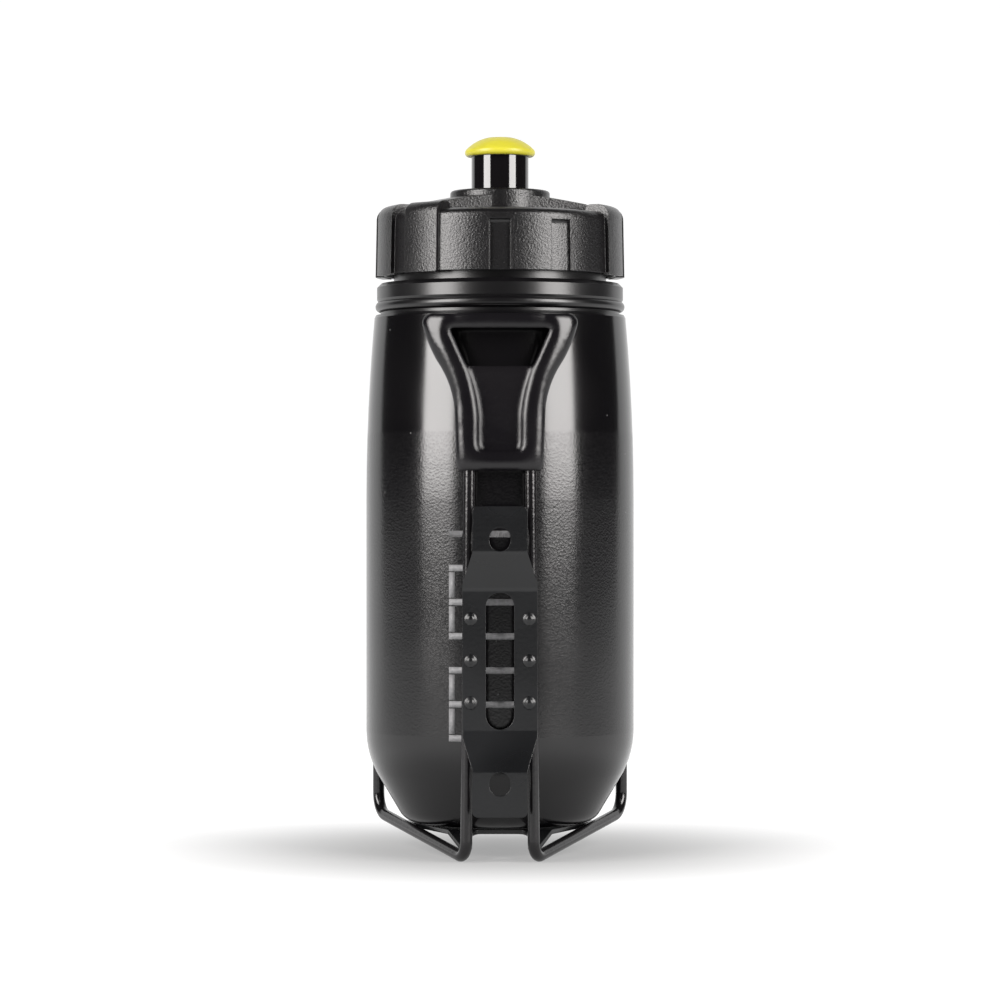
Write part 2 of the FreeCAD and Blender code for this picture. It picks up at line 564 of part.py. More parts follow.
def make_mounting_plate():
    """The stamped plate on the rails: two tabs that stand towards the frame, and a long slot."""
    body = new_body("mounting_plate", y="0", z="0")
    back, face = "(tab_rise + plate_thickness)", "tab_rise"
    thick = "plate_thickness"
    section = [
        ("0", f"-{PLATE_HALF}"), (thick, f"-{PLATE_HALF}"), (thick, f"-{TAB_START}"),
        (back, "-middle_half"), (back, "middle_half"), (thick, TAB_START),
        (thick, PLATE_HALF), ("0", PLATE_HALF), ("0", TAB_START),
        (face, "middle_half"), (face, "-middle_half"), ("0", f"-{TAB_START}"),
    ]
    sketch = add_sketch(body, "plate_section", "YZ_Plane", section)
    pad = add_extrusion(body, sketch, length=MIDDLE_WIDTH)
    bends = [index for index, edge in enumerate(pad.Shape.Edges, start=1)
             if abs(abs(edge.tangentAt(edge.FirstParameter).x) - 1) < 1e-6
             and min(abs(abs(edge.CenterOfMass.z) - size(place))
                     for place in (TAB_START, "middle_half")) < 1e-6]
    fillet = body.newObject("PartDesign::Fillet", "plate_bends")
    fillet.Base = (pad, [f"Edge{index}" for index in bends])
    fillet.Radius = size("plate_bend")
    fillet.setExpression("Radius", bound("plate_bend"))
    doc.recompute()
    wide, narrow = f"{MIDDLE_WIDTH} / 2", "tab_width / 2"
    rim = "plate_corner"
    frame = [(f"{sx} * {MIDDLE_WIDTH}", f"{sz} * {PLATE_HALF} * 2")
             for sx, sz in ((-1, -1), (1, -1), (1, 1), (-1, 1))]
    shape = [
        (f"{rim} - {narrow}", f"-{PLATE_HALF}"), (f"{narrow} - {rim}", f"-{PLATE_HALF}", rim),
        (narrow, f"{rim} - {PLATE_HALF}"), (narrow, f"-{TAB_START}"), (wide, "-taper_low"),
        (wide, "taper_low"), (narrow, TAB_START), (narrow, f"{PLATE_HALF} - {rim}", rim),
        (f"{narrow} - {rim}", PLATE_HALF), (f"{rim} - {narrow}", PLATE_HALF, rim),
        (f"-({narrow})", f"{PLATE_HALF} - {rim}"), (f"-({narrow})", TAB_START),
        (f"-({wide})", "taper_low"), (f"-({wide})", "-taper_low"), (f"-({narrow})", f"-{TAB_START}"),
        (f"-({narrow})", f"{rim} - {PLATE_HALF}", rim),
    ]
    trim = add_sketch(body, "plate_shape", "XZ_Plane", frame, shape)
    add_extrusion(body, trim, kind="Pocket")

    def slot(half, low, high):
        return [(f"-({half})", f"{low} + {half}", half), ("0", low, half),
                (half, f"{low} + {half}"), (half, f"{high} - {half}", half),
                ("0", high, half), (f"-({half})", f"{high} - {half}")]

    reach = "(bolt_slot_length / 2)"
    slots = [slot("slot_width / 2", "-slot_half", "slot_half")]
    slots += [slot("bolt_slot_width / 2", f"{end} * hole_spacing / 2 - {reach}",
                   f"{end} * hole_spacing / 2 + {reach}") for end in (-1, 1)]
    add_extrusion(body, add_sketch(body, "plate_slots", "XZ_Plane", *slots), kind="Pocket")
    return body


def diagonal(depth):
    """Expressions for a point on the diagonal run of the wire's centre line, at a depth from the
    axis towards the frame: its distance from the middle plane and its height."""
    share = f"(({RAIL_DEPTH} - ({depth})) / {DIAGONAL_RUN})"
    across = f"({FOOT_X} + ({ARM_X} - {FOOT_X}) * {share})"
    height = f"(-foot_drop + (arm_foot + foot_drop) * {share})"
    return across, height


def make_base_plate():
    """The stamped shelf under the bottle: level between the diagonals, with two legs that slope
    down onto them beside a notch."""
    body = new_body("base_plate")
    top = "(-base_gap)"
    low = "(-base_gap - base_thickness)"
    leg_low = f"({diagonal('leg_back')[1]} + wire_radius + weld_gap)"
    section = [
        ("-leg_back", leg_low), ("-base_back", low), ("base_front", low), ("base_front", top),
        ("-base_back", top), ("-leg_back", f"{leg_low} + base_thickness"),
    ]
    sketch = add_sketch(body, "base_section", "YZ_Plane", section)
    width = f"{WIRE_REACH} * 2"
    add_extrusion(body, sketch, length=width)
    clear = f"((wire_radius + weld_gap) * {DIAGONAL_SLANT})"
    front = f"({diagonal('-base_front')[0]} - {clear})"
    shelf = f"({diagonal('base_back')[0]} - {clear})"
    leg = f"({diagonal('leg_back')[0]})"
    corner = "notch_corner"
    shape = [
        (f"-({front})", "base_front"), (f"-({shelf})", "-base_back"), (f"-({leg})", "-leg_back"),
        ("-notch_half", "-leg_back"), ("-notch_half", f"-base_back - {corner}", "-notch_corner"),
        (f"{corner} - notch_half", "-base_back"), (f"notch_half - {corner}", "-base_back",
                                                   "-notch_corner"),
        ("notch_half", f"-base_back - {corner}"), ("notch_half", "-leg_back"),
        (leg, "-leg_back"), (shelf, "-base_back"), (front, "base_front"),
    ]
    frame = [(f"{sx} * {width}", f"{sy} * {width}")
             for sx, sy in ((-1, -1), (1, -1), (1, 1), (-1, 1))]
    trim = add_sketch(body, "base_shape", "XY_Plane", frame, shape)
    add_extrusion(body, trim, kind="Pocket")
    return body


def mirrored(outline):
    """An outline that is closed by its own mirror image across the middle plane. Each corner of
    the right half is (x, z) or (x, z, bend), listed upwards."""
    bends = [corner[2] if len(corner) == 3 else None for corner in outline]
    left = []
    for index in range(len(outline) - 1, -1, -1):
        x, z = outline[index][:2]
        bend = bends[index - 1] if index else None
        left.append((f"-({x})", z, bend) if bend else (f"-({x})", z))
    return outline + left


def make_top_clip():
    """The moulded grip over the top of the rails: a solid strip, a recessed web, a window under a
    thin bar, and two round-edged arms that fan out to the tips."""
    body = new_body("clip_body")
    block = [(CLIP_BORE, "clip_low"), (CLIP_RADIUS, "clip_low"), (CLIP_RADIUS, CLIP_TOP),
             (CLIP_BORE, CLIP_TOP)]
    add_revolution(body, add_sketch(body, "clip_block", "XZ_Plane", block, turn="-90"),
                   angle=f"4 * asin({CLIP_TIP} / {CLIP_RADIUS})")
    shape = mirrored([
        (f"{CLIP_HALF} - foot_corner", "clip_low", "foot_corner"),
        (CLIP_HALF, "clip_low + foot_corner"),
        (CLIP_WAIST, "clip_flare", "-flare_bend"),
        (f"{CLIP_WAIST} + clip_swell", "swell_height", "swell_bend"),
        (CLIP_TIP, f"{CLIP_TOP} - tip_drop", "tip_bend"),
        (f"{CLIP_TIP} - tip_bend", CLIP_TOP),
    ])
    low, high, side = "clip_low - overcut", f"{CLIP_TOP} + overcut", f"{CLIP_TIP} * 2"
    frame = [(f"-{side}", low), (side, low), (side, high), (f"-{side}", high)]
    add_extrusion(body, add_sketch(body, "clip_shape", "XZ_Plane", frame, shape), kind="Pocket")
    web = mirrored([
        (f"{WEB_HALF} - web_corner", "web_low", "web_corner"),
        (WEB_HALF, "web_low + web_corner"),
        (WEB_HALF, "web_flare", "-web_bend"),
        ("window_half_low", "window_low"),
        (WINDOW_HALF_TOP, WINDOW_HIGH),
    ])
    sketch = add_sketch(body, "clip_web", "XZ_Plane", web)
    floor, beyond = f"({CLIP_BORE} + web_wall)", f"({CLIP_RADIUS} + overcut)"
    sketch.setExpression("AttachmentOffset.Base.z", bound(f"({floor} + {beyond}) / 2"))
    add_extrusion(body, sketch, kind="Pocket", length=f"{beyond} - {floor}")
    window = mirrored([("window_half_low", "window_low"), (WINDOW_HALF_TOP, WINDOW_HIGH)])
    cut = add_extrusion(body, add_sketch(body, "clip_window", "XZ_Plane", window), kind="Pocket")
    radius, ceiling, near = size(CLIP_RADIUS), size(WINDOW_HIGH), 1e-4
    front = [index for index, edge in enumerate(cut.Shape.Edges, start=1)
             if abs(edge.CenterOfMass.z - ceiling) > near
             and all(abs(math.hypot(point.x, point.y) - radius) < near
                     for point in edge.discretize(5))]
    rounding = body.newObject("PartDesign::Fillet", "clip_rounding")
    rounding.Base = (cut, [f"Edge{index}" for index in front])
    rounding.Radius = size("clip_round")
    rounding.setExpression("Radius", bound("clip_round"))
    doc.recompute()
    bar = [(BAR_FACE, WINDOW_HIGH), (beyond, WINDOW_HIGH), (beyond, high), (BAR_FACE, high)]
    sketch = add_sketch(body, "clip_bar", "XZ_Plane", bar, turn="-90")
    add_revolution(body, sketch, kind="Groove",
                   angle=f"2 * asin({WINDOW_HALF_TOP} / {CLIP_RADIUS})")
    channels = [make_wire(f"channel_{name}", side, size("wire_radius + channel_gap"))
                for name, side in (("left", -1), ("right", 1))]
    hollow = doc.addObject("Part::MultiFuse", "channels")
    hollow.Shapes = channels
    clip = doc.addObject("Part::Cut", "top_clip")
    clip.Base, clip.Tool = body, hollow
    return clip


pieces = [
    make_bottle_body(), make_lid_gasket(), make_lid_shell(), make_valve_insert(),
    make_nozzle_tube(), make_nozzle_seal(), make_mouthpiece(),
    make_wire("wire_left", -1, size("wire_radius")),
    make_wire("wire_right", 1, size("wire_radius")),
    make_mounting_plate(), make_base_plate(), make_top_clip(),
]
doc.recompute()

for item in doc.Objects:
    if {"Invalid", "Error"} & set(item.State):
        raise RuntimeError(f"{item.Label} didn't recompute: {item.State}")
os.makedirs("parts", exist_ok=True)
for piece in pieces:
    if piece.Shape.isNull() or not piece.Shape.isValid() or not piece.Shape.Solids:
        raise RuntimeError(f"{piece.Label} has no valid solid")
for piece in pieces:
    piece.Shape.exportStep(f"parts/{piece.Label}.step")
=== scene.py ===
from math import cos, pi, radians, sin

import bmesh
import bpy
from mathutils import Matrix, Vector


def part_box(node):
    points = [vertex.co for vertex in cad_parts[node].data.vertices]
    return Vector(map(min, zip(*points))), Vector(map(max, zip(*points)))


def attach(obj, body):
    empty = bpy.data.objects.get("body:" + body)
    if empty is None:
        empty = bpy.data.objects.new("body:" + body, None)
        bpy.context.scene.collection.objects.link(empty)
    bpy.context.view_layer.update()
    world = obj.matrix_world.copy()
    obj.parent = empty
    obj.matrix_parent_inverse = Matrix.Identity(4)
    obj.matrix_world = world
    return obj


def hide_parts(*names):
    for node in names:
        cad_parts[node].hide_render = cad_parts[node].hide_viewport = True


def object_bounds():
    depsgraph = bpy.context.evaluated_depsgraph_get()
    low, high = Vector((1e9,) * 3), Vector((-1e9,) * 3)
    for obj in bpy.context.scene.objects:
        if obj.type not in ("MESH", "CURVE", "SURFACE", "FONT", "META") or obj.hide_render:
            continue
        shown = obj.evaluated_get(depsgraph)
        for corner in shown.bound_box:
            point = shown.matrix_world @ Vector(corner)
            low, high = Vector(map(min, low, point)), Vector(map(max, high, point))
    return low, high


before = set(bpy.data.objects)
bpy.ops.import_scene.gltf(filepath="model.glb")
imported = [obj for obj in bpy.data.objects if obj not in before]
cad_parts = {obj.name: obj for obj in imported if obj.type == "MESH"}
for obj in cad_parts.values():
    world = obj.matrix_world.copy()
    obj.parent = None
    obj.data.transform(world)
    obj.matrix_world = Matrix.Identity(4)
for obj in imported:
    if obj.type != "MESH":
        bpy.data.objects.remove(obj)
cad_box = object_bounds()

# ---- The bottle body --------------------------------------------------------------------------
# A blow-moulded squeeze bottle in soft black polyethylene. The mould's fine leather grain is
# left on the wall, and handling polishes the crests and leaves a little pale dust.

MM = 0.001
foot_low, foot_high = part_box("bottle_body")
AXIS = (foot_low + foot_high) / 2
FOOT = foot_low.z
BODY_RADIUS = (foot_high.x - foot_low.x) / 2


def new_group(name, inputs, outputs):
    """An empty shader node group, with its input and output nodes."""
    group = bpy.data.node_groups.new(name, "ShaderNodeTree")
    for title, kind, value in inputs:
        socket = group.interface.new_socket(title, in_out="INPUT", socket_type=kind)
        socket.default_value = value
    for title, kind in outputs:
        group.interface.new_socket(title, in_out="OUTPUT", socket_type=kind)
    return group, group.nodes.new("NodeGroupInput"), group.nodes.new("NodeGroupOutput")


def add_node(tree, kind, settings=None, inputs=None):
    """A node with its settings, and its inputs given as values or as sockets to link from."""
    node = tree.nodes.new(kind)
    for name, value in (settings or {}).items():
        setattr(node, name, value)
    for key, value in (inputs or {}).items():
        if isinstance(value, bpy.types.NodeSocket):
            tree.links.new(value, node.inputs[key])
        else:
            node.inputs[key].default_value = value
    return node


def new_material(name, **sockets):
    """A Principled material with plain values on its sockets, and its Object coordinates."""
    material = bpy.data.materials.new(name)
    material.use_nodes = True
    tree = material.node_tree
    shader = tree.nodes["Principled BSDF"]
    for key, value in sockets.items():
        shader.inputs[key.replace("_", " ")].default_value = value
    place = add_node(tree, "ShaderNodeTexCoord").outputs["Object"]
    return material, tree, shader, place


def add_group(tree, group, **inputs):
    """A copy of a node group in a material, with its own values."""
    settings = {key.replace("_", " "): value for key, value in inputs.items()}
    return add_node(tree, "ShaderNodeGroup", {"node_tree": group}, settings)


def make_grain_group():
    """Moulded grain: cells of one size, broken up by finer noise, as height and a crest mask."""
    group, given, out = new_group(
        "moulded_grain",
        [("Place", "NodeSocketVector", (0, 0, 0)), ("Cell", "NodeSocketFloat", 1500.0),
         ("Fine", "NodeSocketFloat", 4000.0)],
        [("Height", "NodeSocketFloat"), ("Crest", "NodeSocketFloat")])
    cells = add_node(group, "ShaderNodeTexVoronoi", {"feature": "SMOOTH_F1"},
                     {"Vector": given.outputs["Place"], "Scale": given.outputs["Cell"],
                      "Smoothness": 0.6})
    fine = add_node(group, "ShaderNodeTexNoise", None,
                    {"Vector": given.outputs["Place"], "Scale": given.outputs["Fine"],
                     "Detail": 3.0, "Roughness": 0.6})
    height = add_node(group, "ShaderNodeMath", {"operation": "MULTIPLY_ADD"},
                      {0: fine.outputs["Fac"], 1: 0.3, 2: cells.outputs["Distance"]})
    crest = add_node(group, "ShaderNodeMapRange", None,
                     {"Value": height.outputs[0], "From Min": 0.45, "From Max": 0.95})
    group.links.new(height.outputs[0], out.inputs["Height"])
    group.links.new(crest.outputs[0], out.inputs["Crest"])
    return group


def make_dust_group():
    """Loose dust: a few pale specks and a faint broad bloom, as masks."""
    group, given, out = new_group(
        "loose_dust",
        [("Place", "NodeSocketVector", (0, 0, 0)), ("Spread", "NodeSocketFloat", 160.0),
         ("Size", "NodeSocketFloat", 0.035)],
        [("Specks", "NodeSocketFloat"), ("Bloom", "NodeSocketFloat")])
    cells = add_node(group, "ShaderNodeTexVoronoi", {"feature": "F1"},
                     {"Vector": given.outputs["Place"], "Scale": given.outputs["Spread"],
                      "Randomness": 1.0})
    near = add_node(group, "ShaderNodeMath", {"operation": "LESS_THAN"},
                    {0: cells.outputs["Distance"], 1: given.outputs["Size"]})
    apart = add_node(group, "ShaderNodeSeparateColor", None, {"Color": cells.outputs["Color"]})
    few = add_node(group, "ShaderNodeMath", {"operation": "GREATER_THAN"},
                   {0: apart.outputs["Red"], 1: 0.72})
    specks = add_node(group, "ShaderNodeMath", {"operation": "MULTIPLY"},
                      {0: near.outputs[0], 1: few.outputs[0]})
    broad = add_node(group, "ShaderNodeTexNoise", None,
                     {"Vector": given.outputs["Place"], "Scale": 45.0, "Detail": 1.0})
    bloom = add_node(group, "ShaderNodeMapRange", None,
                     {"Value": broad.outputs["Fac"], "From Min": 0.42, "From Max": 0.72})
    group.links.new(specks.outputs[0], out.inputs["Specks"])
    group.links.new(bloom.outputs[0], out.inputs["Bloom"])
    return group


GRAIN = make_grain_group()
DUST = make_dust_group()


def mix_value(tree, mask, low, high):
    """A number that goes from low to high as the mask goes from 0 to 1."""
    return add_node(tree, "ShaderNodeMapRange", None,
                    {"Value": mask, "To Min": low, "To Max": high}).outputs[0]


def mix_colour(tree, mask, low, high):
    """A colour that goes from low to high as the mask goes from 0 to 1."""
    return add_node(tree, "ShaderNodeMix", {"data_type": "RGBA"},
                    {"Factor": mask, 6: low, 7: high}).outputs[2]


GRAIN_TOP = FOOT + 106 * MM
GRAIN_BORDER = 0.6 * MM
RINGS_LOW = FOOT + 137 * MM
RINGS_BORDER = 1.5 * MM


def make_bottle_plastic():
    """Black polyethylene: a polished upper wall, leather grain below it and duller neck rings."""
    material, tree, shader, place = new_material("bottle_plastic", IOR=1.52,
                                                 Specular_IOR_Level=0.5)
    grain = add_group(tree, GRAIN, Place=place, Cell=1700.0, Fine=4400.0)
    dust = add_group(tree, DUST, Place=place, Spread=170.0, Size=0.035)
    apart = add_node(tree, "ShaderNodeSeparateXYZ", None, {"Vector": place})
    grained = add_node(tree, "ShaderNodeMapRange", {"interpolation_type": "SMOOTHSTEP"},
                       {"Value": apart.outputs["Z"], "From Min": GRAIN_TOP - GRAIN_BORDER,
                        "From Max": GRAIN_TOP + GRAIN_BORDER, "To Min": 1.0, "To Max": 0.0})
    base = mix_colour(tree, dust.outputs["Bloom"], (0.0020, 0.0018, 0.0022, 1),
                      (0.0030, 0.0027, 0.0031, 1))
    dusty = mix_colour(tree, dust.outputs["Specks"], base, (0.10, 0.10, 0.10, 1))
    tree.links.new(dusty, shader.inputs["Base Color"])
    worn = mix_value(tree, grain.outputs["Crest"], 0.20, 0.15)
    shoulder = add_node(tree, "ShaderNodeMapRange", {"interpolation_type": "SMOOTHSTEP"},
                        {"Value": apart.outputs["Z"], "From Min": RINGS_LOW,
                         "From Max": RINGS_LOW + RINGS_BORDER, "To Min": 0.14, "To Max": 0.28})
    satin = add_node(tree, "ShaderNodeMix", {"data_type": "FLOAT"},
                     {"Factor": grained.outputs[0], 2: shoulder.outputs[0], 3: worn})
    rough = add_node(tree, "ShaderNodeMath", {"operation": "MULTIPLY_ADD"},
                     {0: dust.outputs["Bloom"], 1: 0.03, 2: satin.outputs[0]})
    tree.links.new(rough.outputs[0], shader.inputs["Roughness"])
    waves = add_node(tree, "ShaderNodeTexNoise", None,
                     {"Vector": place, "Scale": 38.0, "Detail": 1.0})
    broad = add_node(tree, "ShaderNodeBump", None,
                     {"Height": waves.outputs["Fac"], "Strength": 0.12, "Distance": 0.0010})
    depth = mix_value(tree, grained.outputs[0], 0.01, 0.20)
    bump = add_node(tree, "ShaderNodeBump", None,
                    {"Height": grain.outputs["Height"], "Strength": depth, "Distance": 0.00007,
                     "Normal": broad.outputs[0]})
    tree.links.new(bump.outputs[0], shader.inputs["Normal"])
    return material


def finish_node(name, material):
    """Give a carried-over node its one material."""
    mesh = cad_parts[name].data
    mesh.materials.clear()
    mesh.materials.append(material)


finish_node("bottle_body", make_bottle_plastic())

# ---- The printed scale ------------------------------------------------------------------------
# A pale grey screen print on the side that faces the cage: long and short level bars with a
# broken spine, one raised layer of ink on the wall.

PRINT_LOW, PRINT_HIGH = FOOT + 24 * MM, FOOT + 87 * MM
PRINT_PITCH = 9 * MM
PRINT_LEFT = -13.8 * MM
LONG_BAR, SHORT_BAR = 9.0 * MM, 4.5 * MM
BAR_STEP = 1 * MM
BAR_HEIGHT, SPINE_WIDTH, PRINT_GAP = 1.7 * MM, 1.7 * MM, 0.3 * MM
INK, INK_LIFT = 0.04 * MM, 0.05 * MM


def wall_point(across, height, lift):
    """A point on the bottle's wall, a distance across from the middle plane, lifted off it."""
    angle = across / BODY_RADIUS
    reach = BODY_RADIUS + lift
    return Vector((AXIS.x + reach * sin(angle), AXIS.y - reach * cos(angle), height))


def add_bar(mesh, left, right, low, high):
    """One printed bar: a level sheet bent onto the wall, as thick as the ink."""
    before = set(mesh.verts)
    steps = max(2, round((right - left) / BAR_STEP))
    bmesh.ops.create_grid(mesh, x_segments=steps, y_segments=1, size=0.5)
    for vert in set(mesh.verts) - before:
        across = left + (right - left) * (vert.co.x + 0.5)
        height = low + (high - low) * (vert.co.y + 0.5)
        vert.co = wall_point(across, height, INK_LIFT)


def new_piece(name, mesh, material, body, smooth=True):
    """A finished piece from a bmesh: it rides on a body and takes a material slot."""
    data = bpy.data.meshes.new(name)
    for face in mesh.faces:
        face.smooth = smooth
    mesh.to_mesh(data)
    mesh.free()
    piece = bpy.data.objects.new(name, data)
    bpy.context.scene.collection.objects.link(piece)
    data.materials.append(material)
    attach(piece, body)
    return piece


def make_print():
    """The bars of the scale, every third one long, and the spine between them."""
    mesh = bmesh.new()
    count = int((PRINT_HIGH - PRINT_LOW) / PRINT_PITCH) + 1
    for index in range(count):
        low = PRINT_LOW + index * PRINT_PITCH
        long = index % 3 == 0
        add_bar(mesh, PRINT_LEFT, LONG_BAR if long else SHORT_BAR, low, low + BAR_HEIGHT)
        if index % 3 != 2 and index < count - 1:
            add_bar(mesh, PRINT_LEFT, PRINT_LEFT + SPINE_WIDTH, low + BAR_HEIGHT + PRINT_GAP,
                    low + PRINT_PITCH - PRINT_GAP)
    bmesh.ops.solidify(mesh, geom=list(mesh.faces), thickness=INK)
    bmesh.ops.recalc_face_normals(mesh, faces=mesh.faces)
    return mesh


def make_ink():
    """Matte pale ink, a little uneven where it covers the grain."""
    material, tree, shader, place = new_material("print_ink", Roughness=0.55)
    grain = add_group(tree, GRAIN, Place=place, Cell=1300.0, Fine=3600.0)
    ink = mix_colour(tree, grain.outputs["Crest"], (0.17, 0.17, 0.175, 1), (0.22, 0.22, 0.225, 1))
    tree.links.new(ink, shader.inputs["Base Color"])
    bump = add_node(tree, "ShaderNodeBump", None,
                    {"Height": grain.outputs["Height"], "Strength": 0.25, "Distance": 0.00006})
    tree.links.new(bump.outputs[0], shader.inputs["Normal"])
    return material


new_piece("scale_print", make_print(), make_ink(), "bottle")

# ---- The lid ----------------------------------------------------------------------------------
# An injection-moulded polypropylene cap. Its tool is spark eroded, which leaves a glittering
# speckle on every outer face, and its edges are a little softer than the tool's.


WORN_EDGE = 0.3 * MM


def make_lid_plastic():
    """Black polypropylene with a spark-eroded texture and worn, rounded edges."""
    material, tree, shader, place = new_material("lid_plastic", IOR=1.5, Specular_IOR_Level=0.52)
    eroded = add_node(tree, "ShaderNodeTexNoise", None,
                      {"Vector": place, "Scale": 1900.0, "Detail": 2.5, "Roughness": 0.6})
    dust = add_group(tree, DUST, Place=place, Spread=260.0, Size=0.03)
    tree.links.new(mix_colour(tree, dust.outputs["Bloom"], (0.0032, 0.0029, 0.0033, 1),
                              (0.0046, 0.0042, 0.0046, 1)), shader.inputs["Base Color"])
    tree.links.new(mix_value(tree, eroded.outputs["Fac"], 0.34, 0.24),
                   shader.inputs["Roughness"])
    edge = add_node(tree, "ShaderNodeBevel", {"samples": 4}, {"Radius": WORN_EDGE})
    bump = add_node(tree, "ShaderNodeBump", None,
                    {"Height": eroded.outputs["Fac"], "Strength": 0.7, "Distance": 0.00017,
                     "Normal": edge.outputs[0]})
    tree.links.new(bump.outputs[0], shader.inputs["Normal"])
    return material


finish_node("lid_shell", make_lid_plastic())

# ---- The seals --------------------------------------------------------------------------------
# The flat lid gasket and the tube's sliding ring, cut and moulded in dark silicone.


def make_seal_rubber():
    """Matte dark silicone with a faint cloudy bloom."""
    material, tree, shader, place = new_material("seal_rubber", Roughness=0.62)
    dust = add_group(tree, DUST, Place=place, Spread=300.0, Size=0.03)
    tree.links.new(mix_colour(tree, dust.outputs["Bloom"], (0.012, 0.012, 0.013, 1),
                              (0.020, 0.020, 0.021, 1)), shader.inputs["Base Color"])
    return material


seal_rubber = make_seal_rubber()
finish_node("lid_gasket", seal_rubber)
finish_node("nozzle_seal", seal_rubber)

# ---- The drinking valve -----------------------------------------------------------------------
# A polished black tube slides in the lid's boss round a fixed post on three spokes. The soft
# lime cap is moulded over the tube's top and seals on the post's tip.


def make_tube_plastic():
    """Polished black acetal with fine rub marks from the sliding fit."""
    material, tree, shader, place = new_material("tube_plastic", IOR=1.48, Coat_Weight=0.35,
                                                 Coat_Roughness=0.04)
    stretch = add_node(tree, "ShaderNodeMapping", None, {"Vector": place,
                                                         "Scale": (900.0, 900.0, 60.0)})
    rubs = add_node(tree, "ShaderNodeTexNoise", None,
                    {"Vector": stretch.outputs[0], "Scale": 1.0, "Detail": 3.0})
    tree.links.new(mix_value(tree, rubs.outputs["Fac"], 0.04, 0.11), shader.inputs["Roughness"])
    tree.links.new(mix_colour(tree, rubs.outputs["Fac"], (0.0026, 0.0022, 0.0026, 1),
                              (0.0042, 0.0036, 0.0042, 1)), shader.inputs["Base Color"])
    return material


def make_mouthpiece_rubber():
    """Soft lime elastomer: light scatters inside it, and its skin is slightly mottled."""
    material, tree, shader, place = new_material(
        "mouthpiece_rubber", Subsurface_Weight=0.25, Subsurface_Scale=0.002, IOR=1.45)
    shader.inputs["Subsurface Radius"].default_value = (1.0, 1.0, 0.25)
    dust = add_group(tree, DUST, Place=place, Spread=500.0, Size=0.03)
    tree.links.new(mix_colour(tree, dust.outputs["Bloom"], (0.42, 0.385, 0.026, 1),
                              (0.38, 0.35, 0.030, 1)), shader.inputs["Base Color"])
    tree.links.new(mix_value(tree, dust.outputs["Bloom"], 0.38, 0.50), shader.inputs["Roughness"])
    fine = add_node(tree, "ShaderNodeTexNoise", None,
                    {"Vector": place, "Scale": 3500.0, "Detail": 2.0})
    bump = add_node(tree, "ShaderNodeBump", None,
                    {"Height": fine.outputs["Fac"], "Strength": 0.2, "Distance": 0.00005})
    tree.links.new(bump.outputs[0], shader.inputs["Normal"])
    return material


tube_plastic = make_tube_plastic()
finish_node("nozzle_tube", tube_plastic)
finish_node("valve_insert", tube_plastic)
finish_node("mouthpiece", make_mouthpiece_rubber())

# ---- The cage's wire --------------------------------------------------------------------------
# One bent steel wire in two mirrored halves, powder coated gloss black. The coat is thick enough
# to round every mark, and it flows a little, so highlights run unevenly.


def make_paint(name, roughness, ripple, colour):
    """Black powder coat: gloss or semi-gloss, with orange peel and faint handling marks."""
    material, tree, shader, place = new_material(name, IOR=1.5)
    peel = add_node(tree, "ShaderNodeTexNoise", None,
                    {"Vector": place, "Scale": 900.0, "Detail": 1.5})
    dust = add_group(tree, DUST, Place=place, Spread=260.0, Size=0.03)
    tree.links.new(mix_colour(tree, dust.outputs["Bloom"], colour,
                              tuple(c * 1.5 for c in colour[:3]) + (1,)),
                   shader.inputs["Base Color"])
    tree.links.new(mix_value(tree, dust.outputs["Bloom"], roughness, roughness + 0.08),
                   shader.inputs["Roughness"])
    edge = add_node(tree, "ShaderNodeBevel", {"samples": 4}, {"Radius": WORN_EDGE})
    bump = add_node(tree, "ShaderNodeBump", None,
                    {"Height": peel.outputs["Fac"], "Strength": ripple, "Distance": 0.0001,
                     "Normal": edge.outputs[0]})
    tree.links.new(bump.outputs[0], shader.inputs["Normal"])
    return material


wire_paint = make_paint("wire_paint", 0.15, 0.25, (0.0035, 0.0031, 0.0036, 1))
finish_node("wire_left", wire_paint)
finish_node("wire_right", wire_paint)

# ---- The mounting plate and the base plate ----------------------------------------------------
# Two stamped steel plates welded to the wire before the coat. Six projection welds leave low
# round bumps on the mounting plate's face.

plate_paint = make_paint("plate_paint", 0.26, 0.2, (0.0024, 0.0026, 0.0031, 1))
finish_node("mounting_plate", plate_paint)
finish_node("base_plate", plate_paint)

WELD_ACROSS = 7.7 * MM
WELD_PITCH = 11 * MM
WELD_RADIUS = 1.0 * MM
WELD_DEPTH = 0.45 * MM
SKIRT_RADIUS = 1.8 * MM
SKIRT_DEPTH = 0.14 * MM
DOME_START = -0.35
PLATE_FACE = 4.6 * MM


def make_weld_marks():
    """Six low domes, each with a soft skirt where it meets the plate."""
    mesh = bmesh.new()
    for side in (-1, 1):
        for row in (-1, 0, 1):
            place = Vector((side * WELD_ACROSS, PLATE_FACE, row * WELD_PITCH))
            made = bmesh.ops.create_uvsphere(mesh, u_segments=24, v_segments=16, radius=1.0)
            for vert in made["verts"]:
                dome = vert.co.y < DOME_START
                radius = WELD_RADIUS if dome else SKIRT_RADIUS
                depth = WELD_DEPTH if dome else SKIRT_DEPTH
                vert.co = place + Vector((vert.co.x * radius, vert.co.y * depth,
                                          vert.co.z * radius))
    bmesh.ops.recalc_face_normals(mesh, faces=mesh.faces)
    return mesh


new_piece("weld_marks", make_weld_marks(), plate_paint, "cage")

# ---- The top clip -----------------------------------------------------------------------------
# A thick vinyl grip moulded over the top of the wires. Its skin is polished, so every edge is
# full and round, and its faces carry broad soft waves.

